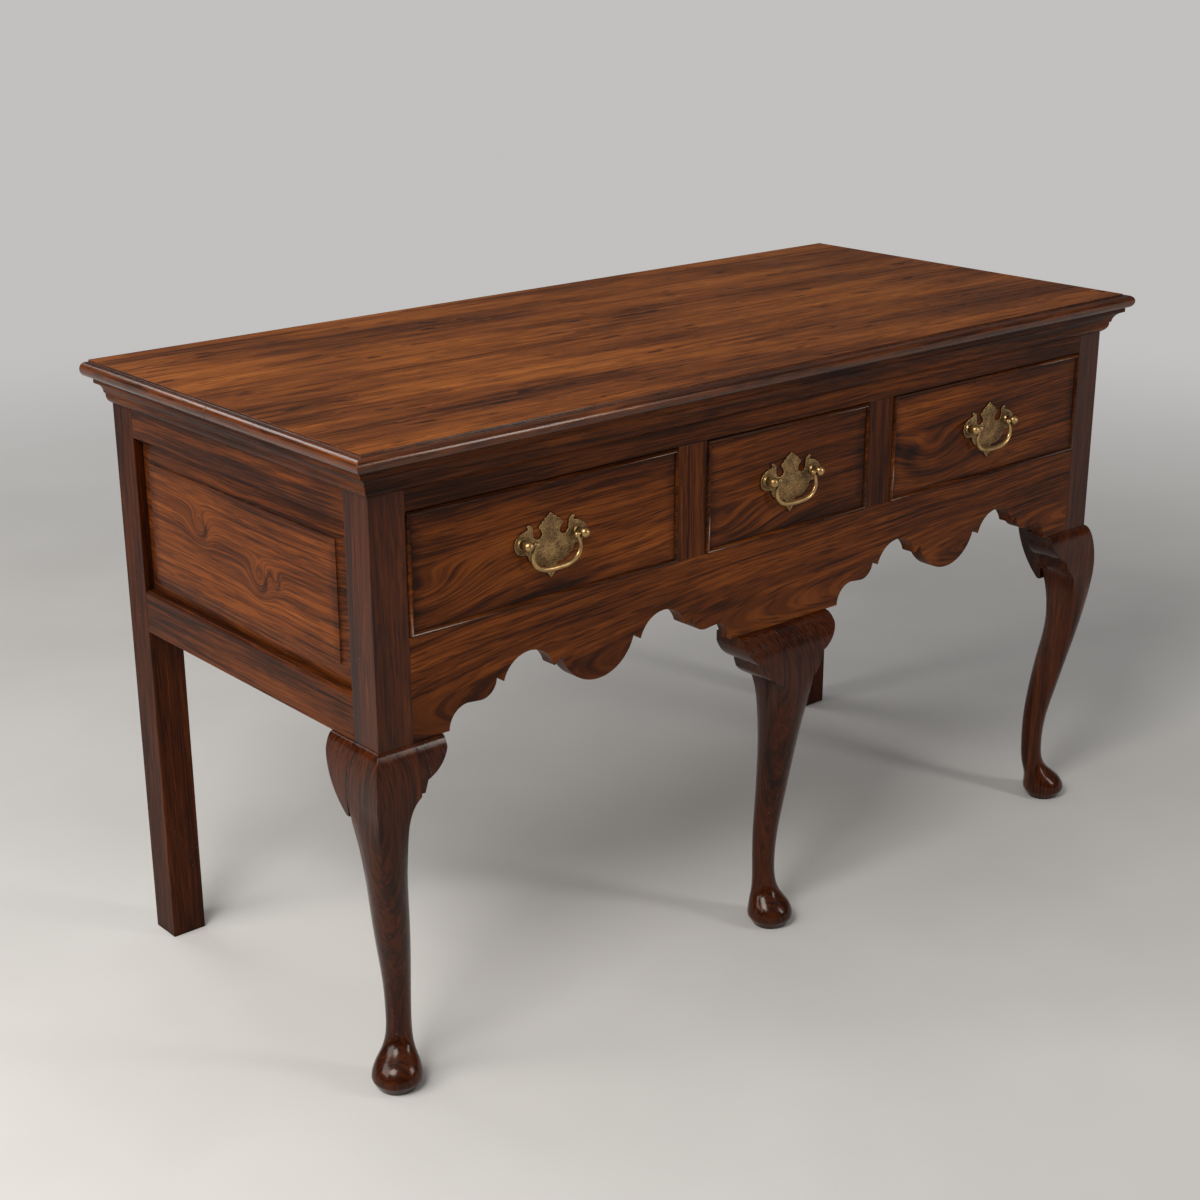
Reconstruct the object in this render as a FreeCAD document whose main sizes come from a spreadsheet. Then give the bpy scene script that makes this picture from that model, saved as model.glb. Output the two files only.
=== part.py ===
"""Dresser base with three drawers, a shaped apron and cabriole legs.

Millimetres. The origin is on the floor under the middle of the top. +X is to the right of a person who
faces the drawers, the drawers pull out towards -Y, and +Z is up.
"""
import FreeCAD, Part
import math
import os
import re

import Sketcher

os.makedirs("parts", exist_ok=True)
doc = FreeCAD.newDocument("dresser_base")

# Driving dimensions

DIMENSIONS = {
    # the case
    "case_width": 1360, "case_depth": 594, "total_height": 840,
    "post_size": 50, "rail_thickness": 24, "post_foot": 470,
    # the top and the moulding under it
    "top_thickness": 20, "top_overhang": 35, "top_back_overhang": 17,
    "edge_field": 14, "edge_step": 2.5, "edge_round": 7.5, "edge_nose": 9, "edge_return": 5,
    "top_joint": 4, "cornice_drop": 39, "cornice_reach": 25,
    # the drawers and the frame round them
    "drawer_floor": 602, "drawer_ceiling": 755.5, "muntin_width": 50, "centre_opening": 310,
    "front_thickness": 22, "fit_gap": 1, "bead_width": 5, "bead_depth": 6.5, "bead_proud": 3,
    "drawer_depth": 520, "side_thickness": 11, "side_height": 146, "back_thickness": 11,
    "tail_depth": 15, "tail_narrow": 17, "tail_wide": 25, "tail_pitch": 36, "tail_start": 12,
    "bottom_thickness": 7, "bottom_rise": 9, "groove_depth": 5,
    # tenons
    "tenon_thickness": 9, "tenon_length": 24, "tenon_shoulder": 12, "muntin_tenon": 20,
    # side frames
    "side_rail_foot": 470, "panel_floor": 529.5, "panel_ceiling": 743,
    "panel_bevel": 29, "panel_tongue": 6, "tongue_depth": 7, "panel_sunk": 13, "field_sunk": 5,
    "field_step": 2, "rail_chamfer": 3,
    # the apron's outline, measured from the middle of each bay
    "bay_centre": 340, "lobe_radius": 62.5, "lobe_half": 60, "lobe_shoulder": 521,
    "spur_inner": 72, "spur_outer": 152, "spur_tip": 512, "arch_radius": 41.7,
    "scroll_start": 163, "scroll_shoulder": 519.5, "scroll_radius": 24, "scroll_bottom": 190,
    "scroll_foot": 497, "cavetto_top": 499, "cavetto_inner": 208, "cavetto_radius": 28,
    # knees and their brackets
    "knee_middle": 405, "corner_knee_proud": 14.7, "centre_knee_proud": 30,
    "centre_knee_half": 30, "bracket_depth": 40, "bracket_reach": 93, "bracket_end": 456,
    "bracket_swell": 55, "bracket_step_out": 60, "bracket_step_top": 424, "bracket_step_in": 55,
    "bracket_step_foot": 409, "bracket_sweep": 60, "bracket_tail": 391, "bracket_tuck": 12,
    "side_bracket_root": 48.6, "side_bracket_reach": 97, "side_bracket_end": 450, "side_bracket_foot": 376,
    "side_bracket_toe": 54, "side_bracket_bend": 150, "centre_lap": 95,
    # back and inside
    "back_rail_height": 62, "back_board_thickness": 11, "back_board_foot": 520, "back_board_gap": 0.6,
    "runner_height": 22, "runner_bearing": 30, "guide_height": 20, "guide_inset": 20,
    "kicker_height": 22, "stop_length": 24, "stop_height": 18, "stop_width": 14,
    # handles
    "handle_height": 681, "plate_thickness": 2.2, "post_spacing": 88, "post_reach": 13,
    "post_ball": 7, "post_neck": 3.6, "post_collar": 8.5, "collar_height": 2.4, "shank_radius": 2.4,
    "nut_radius": 6, "nut_height": 4, "pin_radius": 2, "pin_clearance": 0.06, "pin_length": 13,
    "bail_half": 32, "bail_bow": 38, "bail_drop": 35.5, "bail_radius": 2, "bail_swell": 3.4,
    "bail_ball": 4, "bore_back": 3, "plate_scale": 1, "shank_tail": 7, "rest_gap": 0.3,
}

# Half of a handle's backplate, from the pendant tip up the right side to the crown: across, up, and the
# arc to the next point where there is one.
PLATE_OUTLINE = [
    (0, -51), (7, -43, "right", 9), (11, -32, "left", 24), (32, -24, "left", 10), (36, -16),
    (40, -14, "left", 14), (56.5, -1, "left", 12), (50, 10.5, "left", 30), (36.5, 15.8, "right", 2.6),
    (37.5, 20, "left", 2.6), (33.5, 21.6, "left", 8), (28.5, 15), (28, 7, "right", 7.5),
    (20.5, 1.2, "right", 7.5), (13.2, 6), (14.5, 10.5, "right", 6), (17.8, 14, "left", 3), (16, 19),
    (14, 19.4, "left", 3.2), (11, 23.4), (9.6, 23.6, "left", 3), (6, 26.8), (0, 32),
]

# The cabriole legs are lofted through these level sections. Each row gives the height, how far the outer
# corner, the end of the front and the end of the side lie behind the faces of the case, and how round the
# sides are: 0 is flat, 1 is a circle.
LEG_SECTIONS = {
    "sole": (0, 6.2, 40.2, 40.2, 1), "rim": (12, 0.8, 45.8, 45.8, 1), "pad": (18, 0.2, 46.4, 46.4, 1),
    "cushion": (26, 2.2, 46.2, 46.2, 1), "toe": (35, 7.2, 46.2, 46.2, 1),
    "instep": (45, 16.2, 47.4, 47.4, 1), "heel": (59, 24.8, 49.8, 50, 1), "ankle": (84, 28.6, 51.4, 52, 1),
    "shin": (140, 26.2, 51.2, 52.4, 1), "calf": (190, 18, 46.9, 49.5, 1), "calf_top": (245, 8, 40, 43.8, 1),
    "under_knee": (300, -2.2, 33, 37.5, 0.9), "knee_low": (350, -10, 30.8, 40.5, 0.55),
    "knee_mid": (380, -13.3, 33.5, 46.5, 0.14), "knee_top": (405, -14.7, 50, 50, 0),
}
# The centre leg faces straight forward: height, front and back behind the face, half width, roundness.
CENTRE_SECTIONS = {
    "sole": (0, -3.5, 30.5, 17, 1), "rim": (12, -8.9, 35.9, 22.4, 1), "pad": (18, -9.4, 36.8, 23.1, 1),
    "cushion": (26, -7.4, 36.6, 22, 1), "toe": (35, -1.6, 37.4, 19.5, 1),
    "instep": (45, 7.4, 38.6, 15.6, 1), "heel": (59, 14.2, 39.6, 12.7, 1), "ankle": (84, 18, 41, 11.5, 1),
    "shin": (140, 15.2, 40.4, 12.6, 1), "calf": (190, 7, 36, 14.5, 1), "calf_top": (245, -3, 31.6, 16.9, 1),
    "under_knee": (300, -13, 28.6, 19.8, 0.9), "knee_low": (350, -22.8, 28, 24.4, 0.6),
    "knee_mid": (380, -28, 31, 28, 0.25), "knee_top": (405, -30, 50, 30, 0),
}

dims = doc.addObject("Spreadsheet::Sheet", "dims")
cells = dict(DIMENSIONS)
for station, (height, outer, front, side, rounding) in LEG_SECTIONS.items():
    cells.update({f"leg_{station}_level": height, f"leg_{station}_outer": outer,
                  f"leg_{station}_front": front, f"leg_{station}_side": side,
                  f"leg_{station}_round": rounding})
for station, (height, fore, aft, half, rounding) in CENTRE_SECTIONS.items():
    cells.update({f"mid_{station}_level": height, f"mid_{station}_fore": fore, f"mid_{station}_aft": aft,
                  f"mid_{station}_half": half, f"mid_{station}_round": rounding})
for row, (alias, amount) in enumerate(cells.items(), 1):
    dims.set(f"A{row}", alias)
    dims.set(f"B{row}", str(amount))
    dims.setAlias(f"B{row}", alias)
doc.recompute()

# Places that many pieces share, as formulas on the sheet
HALF = "(case_width / 2)"
FRONT = "((top_overhang - case_depth - top_back_overhang) / 2)"
BACK = f"({FRONT} + case_depth)"
TOP_FRONT = f"({FRONT} - top_overhang)"
TOP_HALF = f"({HALF} + top_overhang)"
CASE_TOP = "(total_height - top_thickness)"
FRAME_BACK = f"({FRONT} + rail_thickness)"
POST_IN = f"({HALF} - post_size)"
MUNTIN_IN = "(centre_opening / 2)"
MUNTIN_OUT = f"({MUNTIN_IN} + muntin_width)"
BACK_FRAME = f"({BACK} - back_board_thickness)"
BACK_RAIL_FRONT = f"({BACK_FRAME} - rail_thickness)"
DRAWER_BACK = f"({FRONT} + drawer_depth)"
KNEE_FLOOR = "(2 * knee_middle - post_foot)"

# What counts as nothing, in millimetres
NEAR = 1e-6

# Counts
TAILS = 4
BACK_BOARDS = 3

# The rise of a quarter of a circle over a chord of 1. A bow of less roundness rises less.
QUARTER_RISE = (math.sqrt(2) - 1) / 2
# How far round the nose of a cock bead goes, as a share of the bead's width
NOSE_SHARE = 0.45
# Half of the bail's bent bar, from its ball down to the middle: across and down, as shares of bow and drop
BAIL_LINE = [(0.855, 0.02), (0.93, 0.17), (0.985, 0.36), (0.975, 0.56), (0.87, 0.76), (0.66, 0.91),
             (0.35, 0.985), (0, 1)]


def named(formula):
    """Turn the bare dimension names of a formula into references to the sheet."""
    return re.sub(r"[a-z_]+", lambda word: f"dims.{word[0]}" if word[0] in cells else word[0], formula)


def number(formula):
    return float(dims.evalExpression(named(formula)))


def bind(thing, **formulas):
    for prop, formula in formulas.items():
        thing.setExpression(prop.replace("__", "."), named(formula))


def place(thing, x="0", y="0", z="0"):
    bind(thing, Placement__Base__x=x, Placement__Base__y=y, Placement__Base__z=z)
    return thing


def add(kind, label):
    thing = doc.addObject(kind, label)
    thing.Label = label
    return thing


# Part primitives and booleans

def box(label, low, high):
    """A box between two corners, each a triple of formulas."""
    thing = add("Part::Box", label)
    bind(thing, Length=f"({high[0]}) - ({low[0]})", Width=f"({high[1]}) - ({low[1]})",
         Height=f"({high[2]}) - ({low[2]})")
    return place(thing, *low)


def turned_about(axis, angle):
    direction = {"x": (1, 0, 0), "y": (0, 1, 0), "z": (0, 0, 1)}[axis]
    return FreeCAD.Placement(FreeCAD.Vector(), FreeCAD.Rotation(FreeCAD.Vector(*direction), angle))


def cross_pin(label, radius, length, start):
    """A cylinder that runs along +X from a point."""
    thing = add("Part::Cylinder", label)
    bind(thing, Radius=radius, Height=length)
    thing.Placement = turned_about("y", 90)
    return place(thing, *start)


def compound(label, things):
    thing = add("Part::Compound", label)
    thing.Links = things
    return thing


def cut(label, base, *tools):
    thing = add("Part::Cut", label)
    thing.Base = base
    thing.Tool = tools[0] if len(tools) == 1 else compound(f"{label}_tools", list(tools))
    return thing


def fuse(label, *things):
    thing = add("Part::MultiFuse", label)
    thing.Shapes = list(things)
    thing.Refine = True
    return thing


def common(label, base, tool):
    thing = add("Part::Common", label)
    thing.Base = base
    thing.Tool = tool
    return thing


def mirror(label, source):
    """The same piece on the other side of the middle."""
    thing = add("Part::Mirroring", label)
    thing.Source = source
    thing.Normal = FreeCAD.Vector(1, 0, 0)
    return thing


# Sketches and the solids made from them

def new_sketch(body, label, plane, lift=None):
    sketch = body.newObject("Sketcher::SketchObject", label)
    role = next(item for item in body.Origin.OriginFeatures if item.Role == plane)
    sketch.AttachmentSupport = [(role, "")]
    sketch.MapMode = "FlatFace"
    if lift:
        bind(sketch, AttachmentOffset__Base__z=lift)
    return sketch


def arc_through(start, end, radius, clockwise):
    """The arc of less than half a circle from start to end."""
    chord = end - start
    middle = (start + end) * 0.5
    side = FreeCAD.Vector(-chord.y, chord.x, 0).normalize()
    rise = math.sqrt(max(radius ** 2 - (chord.Length / 2) ** 2, 0))
    centre = middle - side * rise if clockwise else middle + side * rise
    first, last = (end, start) if clockwise else (start, end)
    begin = math.atan2(first.y - centre.y, first.x - centre.x)
    finish = math.atan2(last.y - centre.y, last.x - centre.x)
    circle = Part.Circle(centre, FreeCAD.Vector(0, 0, 1), radius)
    return Part.ArcOfCircle(circle, begin, finish)


def trace(sketch, corners, closed=True):
    """Draw an outline and bind it to the sheet.

    A corner is (x, y) before a straight side, or (x, y, turn, radius) before an arc, where turn is
    "left" or "right", seen by someone who walks along the outline.
    """
    points = [FreeCAD.Vector(number(corner[0]), number(corner[1]), 0) for corner in corners]
    ends = []
    sides = len(corners) if closed else len(corners) - 1
    for index in range(sides):
        corner = corners[index]
        start = points[index]
        end = points[(index + 1) % len(points)]
        if len(corner) == 2:
            side = sketch.addGeometry(Part.LineSegment(start, end))
            ends.append((side, 1, 2))
        else:
            right = corner[2] == "right"
            side = sketch.addGeometry(arc_through(start, end, number(corner[3]), right))
            ends.append((side, 2, 1) if right else (side, 1, 2))
    for index, corner in enumerate(corners):
        side, begin, _ = ends[index] if index < sides else (ends[-1][0], ends[-1][2], None)
        if closed or 0 < index < sides:
            before, _, finish = ends[index - 1]
            sketch.addConstraint(Sketcher.Constraint("Coincident", before, finish, side, begin))
        for kind, formula, value in (("DistanceX", corner[0], points[index].x),
                                     ("DistanceY", corner[1], points[index].y)):
            rule = sketch.addConstraint(Sketcher.Constraint(kind, -1, 1, side, begin, value))
            sketch.setExpression(f"Constraints[{rule}]", named(formula))
        if len(corner) == 4:
            rule = sketch.addConstraint(Sketcher.Constraint("Radius", side, number(corner[3])))
            sketch.setExpression(f"Constraints[{rule}]", named(corner[3]))


def prism(label, plane, corners, depth, at=("0", "0", "0"), middle=False, back=False):
    """A padded outline. XY pads up, XZ pads towards -Y and YZ towards +X, unless back turns it round."""
    body = add("PartDesign::Body", label)
    sketch = new_sketch(body, f"{label}_outline", plane)
    trace(sketch, corners)
    pad = body.newObject("PartDesign::Pad", f"{label}_pad")
    pad.Profile = sketch
    bind(pad, Length=depth)
    pad.Midplane = middle
    pad.Reversed = back
    return place(body, *at)


def turned(label, corners, at):
    """A turned piece: an outline of (radius, distance) revolved about an axis that points to -Y."""
    body = add("PartDesign::Body", label)
    sketch = new_sketch(body, f"{label}_outline", "XY_Plane")
    trace(sketch, corners)
    spin = body.newObject("PartDesign::Revolution", f"{label}_spin")
    spin.Profile = sketch
    spin.ReferenceAxis = (sketch, ["V_Axis"])
    spin.Angle = 360
    return place(body, *at)


def corner_section(station):
    outer = f"leg_{station}_outer"
    return ((outer, f"leg_{station}_front"), (outer, f"leg_{station}_side"),
            f"leg_{station}_round", f"leg_{station}_level")


def centre_section(station):
    half = f"mid_{station}_half"
    return ((f"-{half}", half), (f"mid_{station}_fore", f"mid_{station}_aft"),
            f"mid_{station}_round", f"mid_{station}_level")


def bow(low, high, rounding):
    """The arc over one side of a section, or nothing where the side is flat."""
    if number(rounding) == 0:
        return ()
    rise = f"({QUARTER_RISE} * {rounding})"
    return ("left", f"(({high}) - ({low})) * (1 / (8 * {rise}) + {rise} / 2)")


def leg_loft(label, stations, corner_of, at):
    """A leg lofted through level sections with four bowed sides; the sole is cut back below the rim."""
    body = add("PartDesign::Body", label)
    sections = []
    for station in stations:
        (left, right), (fore, aft), rounding, level = corner_of(station)
        sketch = new_sketch(body, f"{label}_{station}", "XY_Plane", lift=level)
        across = bow(left, right, rounding)
        along = bow(fore, aft, rounding)
        trace(sketch, [(left, fore) + across, (right, fore) + along,
                       (right, aft) + across, (left, aft) + along])
        sections.append(sketch)
    for stretch, chosen in (("sole", sections[:2]), ("shaft", sections[1:])):
        loft = body.newObject("PartDesign::AdditiveLoft", f"{label}_{stretch}_loft")
        loft.Profile = chosen[0]
        loft.Sections = chosen[1:]
    return place(body, *at)


# The top

def top_edge(reach, side):
    """The moulded edge at +reach or -reach, listed from the underside up, or from the field down."""
    def at(inset, level, *arc):
        return (f"{side} * ({reach} - {inset})", level) + arc
    nose = f"{CASE_TOP} + edge_nose"
    shelf = "total_height - edge_step"
    rise = "(top_thickness - edge_step - edge_nose)"
    under = "(edge_return ^ 2 + edge_nose ^ 2) / (2 * edge_return)"
    over = f"(edge_round ^ 2 + {rise} ^ 2) / (2 * edge_round)"
    if side > 0:
        return [at("edge_return", CASE_TOP, "left", under), at("0", nose, "left", over),
                at("edge_round", shelf), at("edge_field", shelf), at("edge_field", "total_height")]
    return [at("edge_field", "total_height"), at("edge_field", shelf), at("edge_round", shelf, "left", over),
            at("0", nose, "left", under), at("edge_return", CASE_TOP)]


def make_top():
    """Two boards, moulded along the front and both ends and square along the back."""
    depth = f"(-{TOP_FRONT})"
    square_back = [(depth, CASE_TOP), (depth, "total_height")]
    front_run = prism("top_front_run", "YZ_Plane", square_back + top_edge(depth, -1), f"2 * {TOP_HALF}",
                      middle=True)
    end_run = prism("top_end_run", "XZ_Plane", top_edge(TOP_HALF, 1) + top_edge(TOP_HALF, -1),
                    f"2 * {depth}", middle=True)
    blank = common("top_blank", front_run, end_run)
    rear_half = box("top_rear_half", (f"-{TOP_HALF}", "top_joint", CASE_TOP),
                    (TOP_HALF, depth, "total_height"))
    return [cut("top_front_board", blank, rear_half), common("top_back_board", blank, rear_half)]


def cornice_profile(face, outward):
    """The moulding under the top: fascia, cove, quirk and ovolo, from a face of the case outwards."""
    def at(reach, drop):
        return (f"{face} + {outward} * cornice_reach * {reach}", f"{CASE_TOP} - cornice_drop * {drop}")
    right, left = ("right", "left") if outward > 0 else ("left", "right")
    return [at(0, 0), at(1, 0), at(1, 0.2), at(0.9, 0.22) + (left, "cornice_drop * 0.4"),
            at(0.46, 0.58), at(0.36, 0.62) + (right, "cornice_drop * 0.32"), at(0.1, 0.95), at(0, 1)]


def make_cornice():
    low = f"{CASE_TOP} - cornice_drop"
    run = f"{FRONT} - cornice_reach"
    front_run = prism("cornice_front_run", "YZ_Plane", cornice_profile(FRONT, -1),
                      f"2 * ({HALF} + cornice_reach)", middle=True)
    front_plan = prism("cornice_front_plan", "XY_Plane",
                       [(f"-{HALF}", FRONT), (f"-{HALF} - cornice_reach", run),
                        (f"{HALF} + cornice_reach", run), (HALF, FRONT)],
                       "cornice_drop", at=("0", "0", low))
    left_run = prism("cornice_left_run", "XZ_Plane", cornice_profile(f"-{HALF}", -1),
                     f"{BACK} - ({run})", at=("0", BACK, "0"))
    left_plan = prism("cornice_left_plan", "XY_Plane",
                      [(f"-{HALF}", FRONT), (f"-{HALF}", BACK), (f"-{HALF} - cornice_reach", BACK),
                       (f"-{HALF} - cornice_reach", run)],
                      "cornice_drop", at=("0", "0", low))
    left = common("cornice_left", left_run, left_plan)
    return [common("cornice_front", front_run, front_plan), left, mirror("cornice_right", left)]


# The frame

def make_side():
    """The left side frame: two rails and the raised and fielded panel between them."""
    face = f"-{HALF}"
    inside = f"-{HALF} + rail_thickness"
    front_end = f"{FRONT} + post_size"
    back_end = f"{BACK} - post_size"
    length = f"({back_end} - ({front_end}))"
    height = "(panel_ceiling - panel_floor)"
    tongue = box("panel_tongue_board",
                 (f"{face} + panel_sunk", f"{front_end} - tongue_depth", "panel_floor - tongue_depth"),
                 (f"{face} + panel_sunk + panel_tongue", f"{back_end} + tongue_depth",
                  "panel_ceiling + tongue_depth"))
    bevel = add("Part::Wedge", "panel_bevel_frame")
    bind(bevel, Xmax=length, Ymax="panel_sunk - field_sunk - field_step", Zmax=height,
         X2min="panel_bevel", Z2min="panel_bevel",
         X2max=f"{length} - panel_bevel", Z2max=f"{height} - panel_bevel")
    for prop in ("Xmin", "Ymin", "Zmin"):
        bind(bevel, **{prop: "0"})
    bevel.Placement = turned_about("z", 90)
    place(bevel, f"{face} + panel_sunk", front_end, "panel_floor")
    field = box("panel_field_board",
                (f"{face} + field_sunk", f"{front_end} + panel_bevel", "panel_floor + panel_bevel"),
                (f"{face} + panel_sunk", f"{back_end} - panel_bevel", "panel_ceiling - panel_bevel"))
    panel = fuse("side_panel_left", tongue, bevel, field)
    sections = {
        "side_top_rail_left": [(face, "panel_ceiling"), (inside, "panel_ceiling"), (inside, CASE_TOP),
                               (face, CASE_TOP)],
        "side_bottom_rail_left": [(face, "side_rail_foot"), (inside, "side_rail_foot"),
                                  (inside, "panel_floor"), (f"{face} + rail_chamfer", "panel_floor"),
                                  (face, "panel_floor - rail_chamfer")],
    }
    rails = []
    for label, section in sections.items():
        plank = prism(f"{label}_plank", "XZ_Plane", section, length, at=("0", back_end, "0"))
        low = section[0][1]
        high = section[2][1]
        cheek = f"{face} + (rail_thickness - tenon_thickness) / 2"
        tenons = box(f"{label}_tenons",
                     (cheek, f"{front_end} - tenon_length", f"{low} + tenon_shoulder"),
                     (f"{cheek} + tenon_thickness", f"{back_end} + tenon_length",
                      f"{high} - tenon_shoulder"))
        rails.append(cut(label, fuse(f"{label}_whole", plank, tenons), panel))
    return rails + [panel]


def apron_outline():
    """The lower edge of the apron: two bays that repeat about the centre leg."""
    corners = [(f"-{POST_IN}", "drawer_floor"), (f"-{POST_IN}", "post_foot")]
    for bay in ("-bay_centre", "bay_centre"):
        def at(reach, level, *arc):
            return (f"{bay} + {reach}", level) + arc
        corners += [
            at("-cavetto_inner - cavetto_radius", "post_foot", "right", "cavetto_radius + 1"),
            at("-cavetto_inner", "cavetto_top"),
            at("-scroll_bottom", "scroll_foot", "left", "scroll_radius"),
            at("-scroll_start", "scroll_shoulder"),
            at("-spur_outer", "spur_tip", "right", "arch_radius"),
            at("-spur_inner", "spur_tip"),
            at("-lobe_half", "lobe_shoulder", "left", "lobe_radius"),
            at("lobe_half", "lobe_shoulder"),
            at("spur_inner", "spur_tip", "right", "arch_radius"),
            at("spur_outer", "spur_tip"),
            at("scroll_start", "scroll_shoulder", "left", "scroll_radius"),
            at("scroll_bottom", "scroll_foot"),
            at("cavetto_inner", "cavetto_top", "right", "cavetto_radius + 1"),
            at("cavetto_inner + cavetto_radius", "post_foot"),
        ]
    return corners + [(POST_IN, "post_foot"), (POST_IN, "drawer_floor")]


def make_front_frame():
    """Top rail, apron and muntins, tenoned into the posts and into each other."""
    cheek = f"{FRONT} + (rail_thickness - tenon_thickness) / 2"
    muntin = fuse(
        "muntin_left",
        box("muntin_plank", (f"-{MUNTIN_OUT}", FRONT, "drawer_floor"),
            (f"-{MUNTIN_IN}", FRAME_BACK, "drawer_ceiling")),
        box("muntin_tenons", (f"-{MUNTIN_OUT} + tenon_shoulder", cheek, "drawer_floor - muntin_tenon"),
            (f"-{MUNTIN_IN} - tenon_shoulder", f"{cheek} + tenon_thickness",
             "drawer_ceiling + muntin_tenon")))
    muntins = [muntin, mirror("muntin_right", muntin)]
    boards = {
        "front_top_rail": (box("front_top_plank", (f"-{POST_IN}", FRONT, "drawer_ceiling"),
                               (POST_IN, FRAME_BACK, CASE_TOP)), "drawer_ceiling", CASE_TOP),
        "apron": (prism("apron_board", "XZ_Plane", apron_outline(), "rail_thickness",
                        at=("0", FRAME_BACK, "0")), "post_foot", "drawer_floor"),
    }
    rails = []
    for label, (board, low, high) in boards.items():
        ends = [box(f"{label}_tenon_{index}", (start, cheek, f"{low} + tenon_shoulder"),
                    (f"{start} + tenon_length", f"{cheek} + tenon_thickness", f"{high} - tenon_shoulder"))
                for index, start in enumerate((f"-{POST_IN} - tenon_length", POST_IN))]
        rails.append(cut(label, fuse(f"{label}_whole", board, *ends), *muntins))
    return rails, muntins


def make_back():
    """Back rails between the back legs, and three boards nailed on behind them."""
    cheek = f"{BACK_RAIL_FRONT} + (rail_thickness - tenon_thickness) / 2"
    levels = {"back_top_rail": (f"{CASE_TOP} - back_rail_height", CASE_TOP),
              "back_bottom_rail": ("drawer_floor - back_rail_height", "drawer_floor")}
    rails = []
    for label, (low, high) in levels.items():
        plank = box(f"{label}_plank", (f"-{POST_IN}", BACK_RAIL_FRONT, low), (POST_IN, BACK_FRAME, high))
        tenons = box(f"{label}_tenons", (f"-{POST_IN} - tenon_length", cheek, f"{low} + tenon_shoulder"),
                     (f"{POST_IN} + tenon_length", f"{cheek} + tenon_thickness",
                      f"{high} - tenon_shoulder"))
        rails.append(fuse(label, plank, tenons))
    share = f"(({CASE_TOP} - back_board_foot) / {BACK_BOARDS})"
    boards = [box(f"back_board_{index}",
                  (f"-{POST_IN}", BACK_FRAME, f"back_board_foot + {share} * {index}"),
                  (POST_IN, BACK, f"back_board_foot + {share} * {index + 1} - back_board_gap"))
              for index in range(BACK_BOARDS)]
    return rails, compound("back_boards", boards)


def make_rear_legs(entering):
    blank = box("rear_leg_blank", (f"-{HALF}", f"{BACK} - post_size", "0"),
                (f"-{HALF} + post_size", BACK, CASE_TOP))
    left = cut("rear_leg_left", blank, *entering)
    return [left, mirror("rear_leg_right", left)]


# Knees, legs and brackets

def swelling(label, axis, proud, low, high):
    """A knee's block between two corners, whose outer face swells out from the case in a quarter ellipse.

    The corners are given on the face of the case; axis is the direction that the swelling runs in.
    """
    curve = add("Part::Ellipse", f"{label}_curve")
    bind(curve, MajorRadius="post_foot - knee_middle", MinorRadius=proud)
    upright = FreeCAD.Rotation(FreeCAD.Vector(0, 1, 0), -90)
    quarter = FreeCAD.Rotation(FreeCAD.Vector(0, 0, 1), 90 if axis == "y" else 0)
    curve.Placement = FreeCAD.Placement(FreeCAD.Vector(), quarter.multiply(upright))
    place(curve, low[0], low[1], "knee_middle")
    run = add("Part::Extrusion", f"{label}_run")
    run.Base = curve
    run.DirMode = "Custom"
    run.Dir = FreeCAD.Vector(1, 0, 0) if axis == "x" else FreeCAD.Vector(0, 1, 0)
    run.Solid = True
    side = 0 if axis == "x" else 1
    bind(run, LengthFwd=f"({high[side]}) - ({low[side]})")
    core = box(f"{label}_core", low + (KNEE_FLOOR,), high + ("post_foot",))
    return fuse(f"{label}_block", run, core)


def make_corner_legs(entering):
    """Post, knee and cabriole in one piece, with a mortise wherever a rail or the panel enters."""
    inner = (f"-{HALF} + post_size", f"{FRONT} + post_size")
    outer = (f"-{HALF} - corner_knee_proud", f"{FRONT} - corner_knee_proud")
    post = box("corner_post", (f"-{HALF}", FRONT, "post_foot"), inner + (CASE_TOP,))
    crossed = common("corner_knee_crossed",
                     swelling("corner_front", "x", "corner_knee_proud", (outer[0], FRONT), inner),
                     swelling("corner_side", "y", "corner_knee_proud", (f"-{HALF}", outer[1]), inner))
    knee = common("corner_knee", crossed,
                  box("corner_knee_reach", outer + ("knee_middle",), inner + ("post_foot",)))
    cabriole = leg_loft("corner_cabriole", LEG_SECTIONS, corner_section, at=(f"-{HALF}", FRONT, "0"))
    left = cut("front_leg_left", fuse("corner_leg_whole", post, knee, cabriole), *entering)
    return [left, mirror("front_leg_right", left)]


def make_centre_leg():
    """A leg that faces straight forward, with a post that laps up behind the apron."""
    half = "centre_knee_half"
    back = f"{FRONT} + post_size"
    knee = common("centre_knee",
                  swelling("centre_front", "x", "centre_knee_proud", (f"-{half}", FRONT), (half, back)),
                  box("centre_knee_reach", (f"-{half}", f"{FRONT} - centre_knee_proud", "knee_middle"),
                      (half, back, "post_foot")))
    lap = box("centre_lap_post", (f"-{half}", FRAME_BACK, "post_foot"),
              (half, back, "post_foot + centre_lap"))
    cabriole = leg_loft("centre_cabriole", CENTRE_SECTIONS, centre_section, at=("0", FRONT, "0"))
    return fuse("front_leg_centre", knee, lap, cabriole)


def bracket_outline(start, sweep, tuck):
    """A front bracket seen square on, from its joint with the leg out to its end, drawn in by tuck."""
    foot = [(start, "bracket_tail", "left", "bracket_sweep")] if sweep else [(start, "bracket_step_foot")]
    return [(start, "post_foot")] + foot + [
        (f"bracket_step_in - {tuck}", "bracket_step_foot"),
        (f"bracket_step_out - {tuck}", "bracket_step_top", "left", "bracket_swell"),
        (f"bracket_reach - {tuck}", "bracket_end"), (f"bracket_reach - {tuck}", "post_foot")]


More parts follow.
